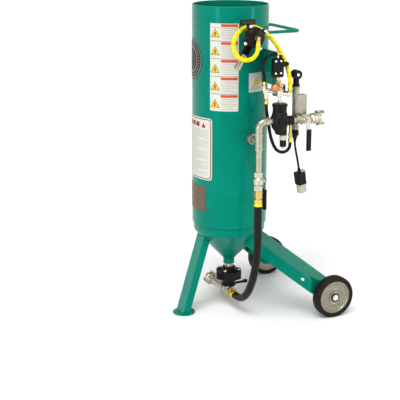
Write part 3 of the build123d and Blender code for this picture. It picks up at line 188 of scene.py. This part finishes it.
class Finish:
    """A procedural material that is put together node by node."""

    def __init__(self, name):
        self.material = bpy.data.materials.new(name)
        self.material.use_nodes = True
        self.tree = self.material.node_tree
        self.shader = self.tree.nodes["Principled BSDF"]
        self.place = self.add("ShaderNodeTexCoord").outputs["Object"]

    def add(self, kind, inputs=(), **settings):
        """A new node with its inputs fed and its settings made."""
        node = self.tree.nodes.new(kind)
        for key, value in settings.items():
            setattr(node, key, value)
        for key, value in dict(inputs).items():
            self.feed(node.inputs[key], value)
        return node

    def feed(self, socket, value):
        """Links a socket to another node's output, or sets its plain value."""
        if isinstance(value, bpy.types.NodeSocket):
            self.tree.links.new(value, socket)
        else:
            socket.default_value = value

    def set(self, **values):
        """Feeds the shader's sockets by name, with base_color standing for Base Color."""
        for key, value in values.items():
            socket_name = key.replace("_", " ").title().replace("Ior", "IOR")
            self.feed(self.shader.inputs[socket_name], value)

    def base_colour(self):
        """The output that feeds the base colour so far."""
        return self.shader.inputs["Base Color"].links[0].from_socket

    def noise(self, scale, detail=3.0):
        """Noise in object space; its size in metres is about one over the scale."""
        inputs = {"Vector": self.place, "Scale": scale, "Detail": detail}
        return self.add("ShaderNodeTexNoise", inputs).outputs["Fac"]

    def between(self, factor, low, high, start=0.35, end=0.65):
        """A number that goes from low to high as the factor goes from start to end."""
        ranged = self.add("ShaderNodeMapRange", {0: factor, 1: start, 2: end, 3: low, 4: high})
        return ranged.outputs[0]

    def past(self, run, limit):
        """One where the run is over the limit and nought where it is under."""
        return self.between(run, 0.0, 1.0, limit - COLOUR_SEAM, limit + COLOUR_SEAM)

    def short_of(self, run, limit):
        """One where the run is under the limit and nought where it is over."""
        return self.between(run, 1.0, 0.0, limit - COLOUR_SEAM, limit + COLOUR_SEAM)

    def dot(self, first, second):
        """The dot product of two directions."""
        product = self.add("ShaderNodeVectorMath", {0: first, 1: second}, operation="DOT_PRODUCT")
        return product.outputs["Value"]

    def along(self, direction):
        """Distance along a direction in the node's own space, in metres."""
        return self.dot(self.place, tuple(direction))

    def tint(self, factor, low, high, start=0.35, end=0.65):
        """A colour that goes from low to high as the factor goes from start to end."""
        ramp = self.add("ShaderNodeValToRGB", {0: factor})
        ramp.color_ramp.elements[0].position = start
        ramp.color_ramp.elements[0].color = (*low, 1)
        ramp.color_ramp.elements[1].position = end
        ramp.color_ramp.elements[1].color = (*high, 1)
        return ramp.outputs[0]

    def mix(self, factor, first, second):
        """The first colour where the factor is nought and the second where it is one."""
        mixed = self.add("ShaderNodeMix", data_type="RGBA")
        for index, value in ((0, factor), (6, first), (7, second)):
            self.feed(mixed.inputs[index], (*value, 1) if isinstance(value, tuple) else value)
        return mixed.outputs[2]

    def rounded_normal(self, radius):
        """The surface's direction with its sharp edges rounded."""
        return self.add("ShaderNodeBevel", {"Radius": radius}, samples=4).outputs[0]

    def edge(self, radius):
        """One near a sharp edge and nought elsewhere."""
        rounded = self.rounded_normal(radius)
        plain = self.add("ShaderNodeNewGeometry").outputs["Normal"]
        return self.between(self.dot(rounded, plain), 1.0, 0.0, 0.86, 0.995)

    def relief(self, height, strength, distance, edge_radius):
        """Fine bumps on a surface whose sharp edges look rounded."""
        inputs = {"Height": height, "Strength": strength, "Distance": distance}
        bump = self.add("ShaderNodeBump", {**inputs, "Normal": self.rounded_normal(edge_radius)})
        self.set(normal=bump.outputs[0])


def gloss_paint(name, colour, gloss):
    """Sprayed gloss paint with slight orange peel, darker and paler patches and tinted highlights."""
    finish = Finish(name)
    patches = finish.noise(5, 4)
    finish.set(base_color=finish.tint(patches, scaled(colour, 0.9), scaled(colour, 1.08)))
    finish.set(roughness=finish.between(finish.noise(28, 5), 0.2, 0.3))
    finish.set(specular_ior_level=0.3, specular_tint=gloss)
    finish.set(coat_weight=0.04, coat_roughness=0.07)
    finish.relief(finish.noise(260, 2), 0.045, 0.0006, 0.0015)
    return finish


def bare_metal(name, colour, roughness=0.32, stain=None, relief=0.15):
    """Plated or bare metal with a faint grain, dull patches, and stains where they are given."""
    finish = Finish(name)
    base = finish.tint(finish.noise(45, 5), scaled(colour, 0.88), scaled(colour, 1.06))
    if stain:
        base = finish.mix(finish.between(finish.noise(90, 6), 0.0, 0.35, 0.55, 0.75), base, stain)
    finish.set(base_color=base, metallic=1.0)
    finish.set(roughness=finish.between(finish.noise(160, 4), roughness - 0.09, roughness + 0.12))
    finish.relief(finish.noise(900, 3), relief, 0.0004, 0.0007)
    return finish


def plastic(name, colour, roughness=0.45, relief=0.2, grain=1400, wear=None, spread=0.25):
    """Moulded or coated surface with a fine grain, and paler edges where wear is given."""
    finish = Finish(name)
    base = finish.tint(finish.noise(60, 4), scaled(colour, 1 - spread), scaled(colour, 1 + spread))
    if wear:
        base = finish.mix(finish.edge(0.0022), base, wear)
    finish.set(base_color=base, specular_ior_level=0.16)
    finish.set(roughness=finish.between(finish.noise(120, 4), roughness - 0.08, roughness + 0.1))
    finish.relief(finish.noise(grain, 2), relief, 0.0003, 0.0008)
    return finish


def lever_finish(name, node, grip_top):
    """Valve lever: plated steel above a height in millimetres, black vinyl grip below it."""
    finish = plastic(name, linear(14, 14, 15), 0.34, 0.15)
    is_steel = finish.past(finish.along((0, 0, 1)), height_in(node, grip_top))
    finish.set(base_color=finish.mix(is_steel, finish.base_colour(), linear(206, 202, 190)))
    finish.set(metallic=is_steel, roughness=finish.between(is_steel, 0.38, 0.26, 0, 1))
    return finish


def filter_finish(name, node):
    """Bleed filter: cream cap on a black body with a plated tip."""
    finish = plastic(name, linear(18, 17, 17), 0.42)
    run = finish.along((0, 0, 1))
    is_cap = finish.past(run, height_in(node, FILTER_CAP_Z))
    is_tip = finish.short_of(run, height_in(node, FILTER_TIP_Z))
    capped = finish.mix(is_cap, finish.base_colour(), linear(196, 192, 160))
    finish.set(base_color=finish.mix(is_tip, capped, linear(210, 206, 196)), metallic=is_tip)
    return finish


def plug_finish(name, node):
    """Cord connector: black body with a pale grey face, back and clamp."""
    finish = plastic(name, linear(20, 19, 19), 0.42)
    top = node.matrix_world.inverted() @ mm(*PLUG_TOP)
    run = finish.along(PLUG_AXIS)
    is_face = finish.past(run, PLUG_AXIS.dot(top) + PLUG_FACE * MM)
    is_back = finish.short_of(run, PLUG_AXIS.dot(top) - PLUG_BACK * MM)
    is_clamp = finish.past(finish.along(PLUG_SIDE), PLUG_SIDE.dot(top) + PLUG_CLAMP * MM)
    colour = finish.base_colour()
    for is_pale in (is_face, is_back, is_clamp):
        colour = finish.mix(is_pale, colour, linear(176, 170, 156))
    finish.set(base_color=colour)
    return finish


FINISHES = {
    "teal_paint": gloss_paint("teal_paint_gloss", linear(0, 117, 97), (0.04, 0.9, 0.75, 1)),
    "galvanised_steel": bare_metal(
        "galvanised_steel_pipe", linear(186, 180, 160), 0.3, stain=linear(134, 126, 102)
    ),
    "plated_valve_body": bare_metal("nickel_plate", linear(206, 198, 178), 0.2),
    "chrome_ball": bare_metal("chrome", linear(225, 225, 222), 0.12),
    "cast_coupling": bare_metal("zinc_plated_casting", linear(202, 196, 176), 0.3, relief=0.5),
    "black_valve_body": plastic(
        "black_coated_casting", linear(17, 15, 14), 0.33, 0.35, 500, wear=linear(58, 54, 50)
    ),
    "black_lever": plastic("black_enamel", linear(16, 15, 15), 0.28),
    "black_plastic": plastic("black_moulding", linear(14, 13, 14), 0.38),
    "brass": bare_metal("machined_brass", linear(228, 194, 112), 0.22),
    "yellow_ferrule": bare_metal("yellow_passivated_zinc", linear(232, 216, 70), 0.26),
    "silver_fitting": bare_metal("nickel_fitting", linear(226, 219, 200), 0.2),
    "bronze": bare_metal("sintered_bronze", linear(206, 140, 90), 0.5, relief=0.9),
    "zinc_screw": bare_metal("bright_zinc", linear(240, 238, 232), 0.22),
    "tyre_rubber": plastic("tyre_rubber_black", linear(24, 20, 18), 0.6, 0.35, 900),
    "wheel_disc": bare_metal("zinc_pressed_disc", linear(150, 145, 130), 0.4),
    "bush_bronze": bare_metal("bush_bronze_plain", linear(170, 120, 60), 0.35),
    "seal_rubber": plastic("seal_rubber_black", linear(18, 17, 17), 0.55),
    "conduit_grey": bare_metal("conduit_zinc_grey", linear(164, 161, 148), 0.36, relief=0.3),
    "nameplate": bare_metal("etched_plate", linear(120, 106, 86), 0.45),
    "tag_black": plastic("tag_black_enamel", linear(12, 11, 11), 0.32),
    "filter_body": filter_finish("filter_moulding", NODES["bleed_filter"]),
    "pusher_hose_rubber": plastic("hose_rubber_satin", linear(22, 18, 16), 0.4, 0.3, 700),
    "yellow_hose": plastic("hose_yellow", linear(238, 212, 8), 0.3, 0.1),
    "black_hose": plastic("hose_black", linear(18, 16, 15), 0.34, 0.1),
    "cord_jacket": plastic("cord_jacket_black", linear(15, 14, 14), 0.48, 0.1),
    "plug_plastic": plug_finish("plug_black", NODES["plug"]),
}


def coat(obj, finish):
    """Gives an object one finish all over."""
    obj.data.materials.clear()
    obj.data.materials.append(finish.material)


SLOT_OF = {part["node"]: part["material_slot"] for part in frame["record"]["subparts"]}
for node_name, node in NODES.items():
    if node_name in GRIP_TOP_Z:
        coat(node, lever_finish(node_name + "_finish", node, GRIP_TOP_Z[node_name]))
    else:
        coat(node, FINISHES[SLOT_OF[node_name]])
for piece in hose_pieces:
    coat(piece, FINISHES[piece["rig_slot"]])


# ---- Added pieces
def add_piece(name, points, faces, slot_name, finish, body=POT, smooth=False):
    """Closed mesh from points in the frame's metres, riding on a body."""
    mesh = bpy.data.meshes.new(name)
    mesh.from_pydata(points, [], faces)
    shape = bmesh.new()
    shape.from_mesh(mesh)
    bmesh.ops.recalc_face_normals(shape, faces=shape.faces)
    for face in shape.faces:
        face.smooth = smooth
    shape.to_mesh(mesh)
    shape.free()
    piece = bpy.data.objects.new(name, mesh)
    SCENE.collection.objects.link(piece)
    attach(piece, body)
    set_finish(piece, slot_name)
    coat(piece, finish)
    return piece


# ---- Labels: thin closed sheets on the shell's curve; s runs round the shell, all in millimetres
SHEET_THICKNESS = 0.15
SHEET_STEP = 12.0
PRINT_STEP = 0.3
INK_COLOURS = {
    "white": (204, 203, 194),
    "orange": (196, 74, 36),
    "yellow": (214, 180, 36),
    "maroon": (128, 40, 40),
    "charcoal": (52, 52, 52),
    "grey": (158, 160, 156),
    "black": (30, 30, 30),
}
INK = {
    ink: plastic("label_" + ink, linear(*colour), 0.4, 0.05, spread=0.03)
    for ink, colour in INK_COLOURS.items()
}
INK["silver"] = bare_metal("label_silver", linear(178, 174, 164), 0.4)


def finer(outline):
    """The outline with points added so that none is further than one step from the next."""
    points = []
    for (s, z), (next_s, next_z) in zip(outline, outline[1:] + outline[:1]):
        cuts = int(math.hypot(next_s - s, next_z - z) / SHEET_STEP) + 1
        points += [(s + (next_s - s) * cut / cuts, z + (next_z - z) * cut / cuts) for cut in range(cuts)]
    return points


def on_shell(s, z, radius):
    """The point above a place on the shell, at a radius from the vessel's axis."""
    angle = s * MM / SHELL_R
    return mm(radius * math.cos(angle), radius * math.sin(angle), z)


def sheet(outline, lift):
    """Points and faces of a convex outline as a closed sheet: rings from its middle, front, back and rim."""
    border = finer(outline)
    count = len(border)
    middle_s = sum(s for s, _ in border) / count
    middle_z = sum(z for _, z in border) / count
    spokes = [(s - middle_s, z - middle_z) for s, z in border]
    rings = int(max(math.hypot(*spoke) for spoke in spokes) / SHEET_STEP) + 1
    points, faces = [], []
    for side in (SHEET_THICKNESS, 0):
        radius = SHELL_R / MM + lift + side
        start = len(points)
        points.append(on_shell(middle_s, middle_z, radius))
        for ring in range(1, rings + 1):
            share = ring / rings
            points += [on_shell(middle_s + s * share, middle_z + z * share, radius) for s, z in spokes]
        for index in range(count):
            after = (index + 1) % count
            faces.append((start, start + 1 + index, start + 1 + after))
            for ring in range(rings - 1):
                inner = start + 1 + ring * count
                outer = inner + count
                faces.append((inner + index, outer + index, outer + after, inner + after))
    layer = 1 + rings * count
    edge = layer - count
    for index in range(count):
        after = (index + 1) % count
        faces.append((edge + index, layer + edge + index, layer + edge + after, edge + after))
    return points, faces


def label(name, outlines, layer, ink):
    """A print layer of a label: all outlines of one ink, each layer lifted a step off the one below."""
    points, faces = [], []
    for outline in outlines:
        more_points, more_faces = sheet(outline, layer * PRINT_STEP)
        faces += [tuple(index + len(points) for index in face) for face in more_faces]
        points += more_points
    return add_piece(name, points, faces, "nameplate", INK[ink])


def rectangle(left, right, low, high):
    return [(left, low), (right, low), (right, high), (left, high)]


def rounded(left, right, low, high, corner):
    """Rectangle with its four corners rounded."""
    points = []
    for x, z, start in (
        (right - corner, low + corner, -90), (right - corner, high - corner, 0),
        (left + corner, high - corner, 90), (left + corner, low + corner, 180),
    ):
        for step in range(5):
            turn = math.radians(start + 22.5 * step)
            points.append((x + corner * math.cos(turn), z + corner * math.sin(turn)))
    return points


def disc(x, z, radius, sides=40):
    turns = [2 * math.pi * index / sides for index in range(sides)]
    return [(x + radius * math.cos(turn), z + radius * math.sin(turn)) for turn in turns]


def triangle(x, z, size):
    """Triangle that stands on a side of the given size, centred on x, with its foot at z."""
    return [(x - size / 2, z), (x + size / 2, z), (x, z + size * 0.87)]


def arc(degrees):
    """Distance round the shell, in millimetres, of an angle from +X."""
    return math.radians(degrees) * SHELL_R / MM


def warning_label():
    """Tall white label: five rows, each a pictogram, a header bar and lines that stand for text."""
    left, right = arc(-56.6), arc(-13.6)
    low, high = 1006, 1406
    rows, lines_per_row, line_step = 5, 7, 7.5
    row_height = (high - low) / rows
    split = left + 0.38 * (right - left)
    sign_middle = left + 25
    headers, borders, signs, marks, lines = [], [], [], [], []
    for row in range(rows):
        top = high - row * row_height - 4
        headers.append(rectangle(split + 2, right - 4, top - 13, top - 1))
        borders.append(triangle(sign_middle, top - 60, 45))
        signs.append(triangle(sign_middle, top - 58, 39))
        marks.append(rectangle(sign_middle - 2.5, sign_middle + 2.5, top - 54, top - 36))
        marks.append(rectangle(left + 3, right - 3, top + 2.6, top + 4))
        for line in range(lines_per_row):
            length = right - split - (8 if line % 3 < 2 else 30)
            z = top - 20 - line * line_step
            lines.append(rectangle(split + 3, split + 3 + length, z - 1.6, z))
    label("warning_label_ground", [rounded(left, right, low, high, 5)], 1, "white")
    label("warning_label_headers", headers, 2, "orange")
    label("warning_label_borders", borders, 2, "black")
    label("warning_label_signs", signs, 3, "yellow")
    label("warning_label_marks", marks, 4, "black")
    label("warning_label_lines", lines, 2, "grey")


def lower_label():
    """Wide white label with a thin dark red frame, a header and lines that stand for text."""
    right = arc(-53)
    left = right - 230
    low, high = 673, 967
    grounds = (("edge", 0, 16, "white"), ("frame", 5, 13, "maroon"), ("ground", 9, 10, "white"))
    for layer, (part, inset, corner, ink) in enumerate(grounds, start=1):
        outline = rounded(left + inset, right - inset, low + inset, high - inset, corner)
        label("lower_label_" + part, [outline], layer, ink)
    header = [triangle(right - 48, high - 46, 26)]
    for letter in range(4):
        start = left + 26 + 34 * letter
        header.append(rectangle(start, start + 26, high - 44, high - 22))
    label("lower_label_header", header, 4, "maroon")
    lines = []
    for line in range(22):
        z = high - 58 - line * 10
        lines.append(rectangle(left + 20, right - (20 if line % 5 < 4 else 90), z - 2, z))
    label("lower_label_lines", lines, 4, "grey")


def medallion():
    """Round black badge with silver rings and a ring of dots, left without any device."""
    x, z = arc(-102.5), 1228
    discs = (("ground", 95, "black"), ("rim", 90, "silver"), ("band", 86, "black"))
    for layer, (part, radius, ink) in enumerate(discs, start=1):
        label("medallion_" + part, [disc(x, z, radius)], layer, ink)
    dots = [disc(dot_x, dot_z, 3.5, 8) for dot_x, dot_z in disc(x, z, 74)]
    label("medallion_dots", [*dots, disc(x, z, 60)], 4, "silver")
    label("medallion_centre", [disc(x, z, 55)], 5, "charcoal")


def small_label():
    """Small white label with a warning triangle over lines that stand for text."""
    left, right = arc(2.6), arc(29.5)
    low, high = 1090, 1178
    label("small_label_ground", [rounded(left, right, low, high, 4)], 1, "white")
    label("small_label_sign", [triangle((left + right) / 2, low + 30, 46)], 2, "yellow")
    lines = [rectangle(left + 8, right - 8, low + 8 + 7 * line, low + 11 + 7 * line) for line in range(3)]
    label("small_label_lines", lines, 2, "grey")


warning_label()
lower_label()
medallion()
small_label()


# ---- Added turned pieces and the tag's panel, all in millimetres
TURNED_SIDES = 96
BEAD_SIDES = 8
UP = (0, 0, 1)


def turned_piece(name, profile, origin, axis, slot_name, finish, body=POT, smooth=False):
    """Closed ring turned from (radius, height) corners about an axis through the origin."""
    count = len(profile)
    tilt = Vector(axis).to_track_quat("Z", "Y")
    points, faces = [], []
    for index in range(TURNED_SIDES):
        turn = 2 * math.pi * index / TURNED_SIDES
        near = index * count
        far = (index + 1) % TURNED_SIDES * count
        for corner, (radius, height) in enumerate(profile):
            local = Vector((radius * math.cos(turn), radius * math.sin(turn), height)) * MM
            points.append(mm(*origin) + tilt @ local)
            following = (corner + 1) % count
            faces.append((near + corner, far + corner, far + following, near + following))
    return add_piece(name, points, faces, slot_name, finish, body, smooth)


def weld(name, radius, height, size, origin, axis):
    """A painted weld bead of round section, run round an axis."""
    section = disc(radius, height, size, BEAD_SIDES)
    turned_piece(name, section, origin, axis, "teal_paint", FINISHES["teal_paint"], smooth=True)


def vessel_welds():
    """Beads round the vessel; each one's middle lies some depth inside the shell's surface."""
    for name, height, size, depth in (
        ("seam_weld", 443, 2.4, 3.0),
        ("head_weld", 1385, 1.3, 0.6),
        ("collar_weld", 1420, 1.3, 0.6),
    ):
        weld(name, SHELL_R / MM - depth, height, size, (0, 0, 0), UP)


def boss_welds():
    """Beads where two of the pipe bosses meet the shell."""
    boss_radius, boss_foot, size = 21.5, 177.5, 2.8
    for name, y, z in (("inlet_boss_weld", 0, 886), ("exhaust_boss_weld", -2, 1349)):
        weld(name, boss_radius, boss_foot, size, (0, y, z), (1, 0, 0))


def hub_shadow_rings():
    """Black rings on the outer faces of the wheel hubs, painted shade round the hub nuts, turning with the
    wheels.
    """
    hub_face, axle_y, axle_z = 362.5, 390, 101.6
    # Each black ring is painted shade round a hub nut
    section = rectangle(15, 21.5, 0, 1.9)
    for side, body in ((1, "wheel_right"), (-1, "wheel_left")):
        turned_piece(
            body + "_hub_shadow_ring", section, (side * hub_face, axle_y, axle_z), (side, 0, 0),
            "wheel_disc", FINISHES["tyre_rubber"], body,
        )


def strain_reliefs():
    """Ribbed sleeves where the cord leaves its grip and enters the plug."""
    section = [(5.1, 0), (9.5, 0), (9.5, 4), (7.8, 6), (8.2, 10), (6.8, 12), (7.2, 16), (5.8, 20), (5.1, 22)]
    for name, origin, axis in (
        ("grip_strain_relief", PIGTAIL_ROUTE[0], (0, 0, -1)),
        ("plug_strain_relief", PLUG_TOP, -PLUG_AXIS),
    ):
        turned_piece(name, section, origin, axis, "cord_jacket", FINISHES["cord_jacket"])


def tag_panel():
    """Thin dark grey panel on the outer face of the valve tag."""
    tag_face, thickness = 259.05, 0.5
    outline = rectangle(-73, -11, 1411, 1426)
    points = [mm(x, y, z) for x in (tag_face, tag_face + thickness) for y, z in outline]
    faces = [(0, 1, 2, 3), (4, 5, 6, 7), (0, 1, 5, 4), (1, 2, 6, 5), (2, 3, 7, 6), (3, 0, 4, 7)]
    add_piece("tag_panel", points, faces, "tag_black", plastic("tag_panel_grey", linear(52, 44, 41), 0.4))


vessel_welds()
boss_welds()
hub_shadow_rings()
strain_reliefs()
tag_panel()


# ---- Stage
LIGHT_AIM = Vector((0, 0, 0.8))
STRIP_WIDTH = 0.5
STRIP_HEIGHT = 2.6
SUN_DIRECTION = Vector((-0.75, 0.55, -1.35))
BRIGHT = 0.95


def make_floor():
    mesh = bpy.data.meshes.new("floor")
    shape = bmesh.new()
    bmesh.ops.create_grid(shape, x_segments=1, y_segments=1, size=40)
    shape.to_mesh(mesh)
    shape.free()
    floor = bpy.data.objects.new("floor", mesh)
    SCENE.collection.objects.link(floor)
    finish = Finish("floor_pale")
    finish.set(base_color=finish.tint(finish.noise(0.6), (0.86, 0.86, 0.86), (0.9, 0.9, 0.9)))
    finish.set(roughness=0.7, specular_ior_level=0.1)
    coat(floor, finish)


def strip_light(name, place, power):
    """Upright soft light that faces the object."""
    data = bpy.data.lights.new(name, "AREA")
    data.shape = "RECTANGLE"
    data.size = STRIP_WIDTH
    data.size_y = STRIP_HEIGHT
    data.energy = power
    light = bpy.data.objects.new(name, data)
    light.location = place
    light.rotation_euler = (LIGHT_AIM - Vector(place)).to_track_quat("-Z", "Y").to_euler()
    SCENE.collection.objects.link(light)


def make_surroundings():
    """Plain studio surroundings: bright at the horizon and overhead, dimmer between the two."""
    world = bpy.data.worlds.new("studio")
    world.use_nodes = True
    nodes, links = world.node_tree.nodes, world.node_tree.links
    background = nodes["Background"]
    background.inputs["Color"].default_value = (1, 1, 1, 1)
    height = nodes.new("ShaderNodeSeparateXYZ")
    glow = nodes.new("ShaderNodeValToRGB")
    glow.color_ramp.elements[0].color = (BRIGHT, BRIGHT, BRIGHT, 1)
    glow.color_ramp.elements[1].color = (BRIGHT, BRIGHT, BRIGHT, 1)
    glow.color_ramp.elements[1].position = 0.85
    for position, value in ((0.16, BRIGHT), (0.24, 0.35), (0.45, 0.4)):
        glow.color_ramp.elements.new(position).color = (value, value, value, 1)
    links.new(nodes.new("ShaderNodeTexCoord").outputs["Generated"], height.inputs[0])
    links.new(height.outputs["Z"], glow.inputs[0])
    links.new(glow.outputs[0], background.inputs["Strength"])
    SCENE.world = world


def make_sun():
    data = bpy.data.lights.new("sun", "SUN")
    data.energy = 1.9
    data.angle = math.radians(35)
    sun = bpy.data.objects.new("sun", data)
    sun.rotation_euler = SUN_DIRECTION.to_track_quat("-Z", "Y").to_euler()
    SCENE.collection.objects.link(sun)


make_floor()
make_surroundings()
make_sun()
strip_light("left_strip", (1.6, -3.4, 1.6), 32)
strip_light("right_strip", (3.0, 2.6, 1.8), 38)
SCENE.view_settings.view_transform = "Standard"
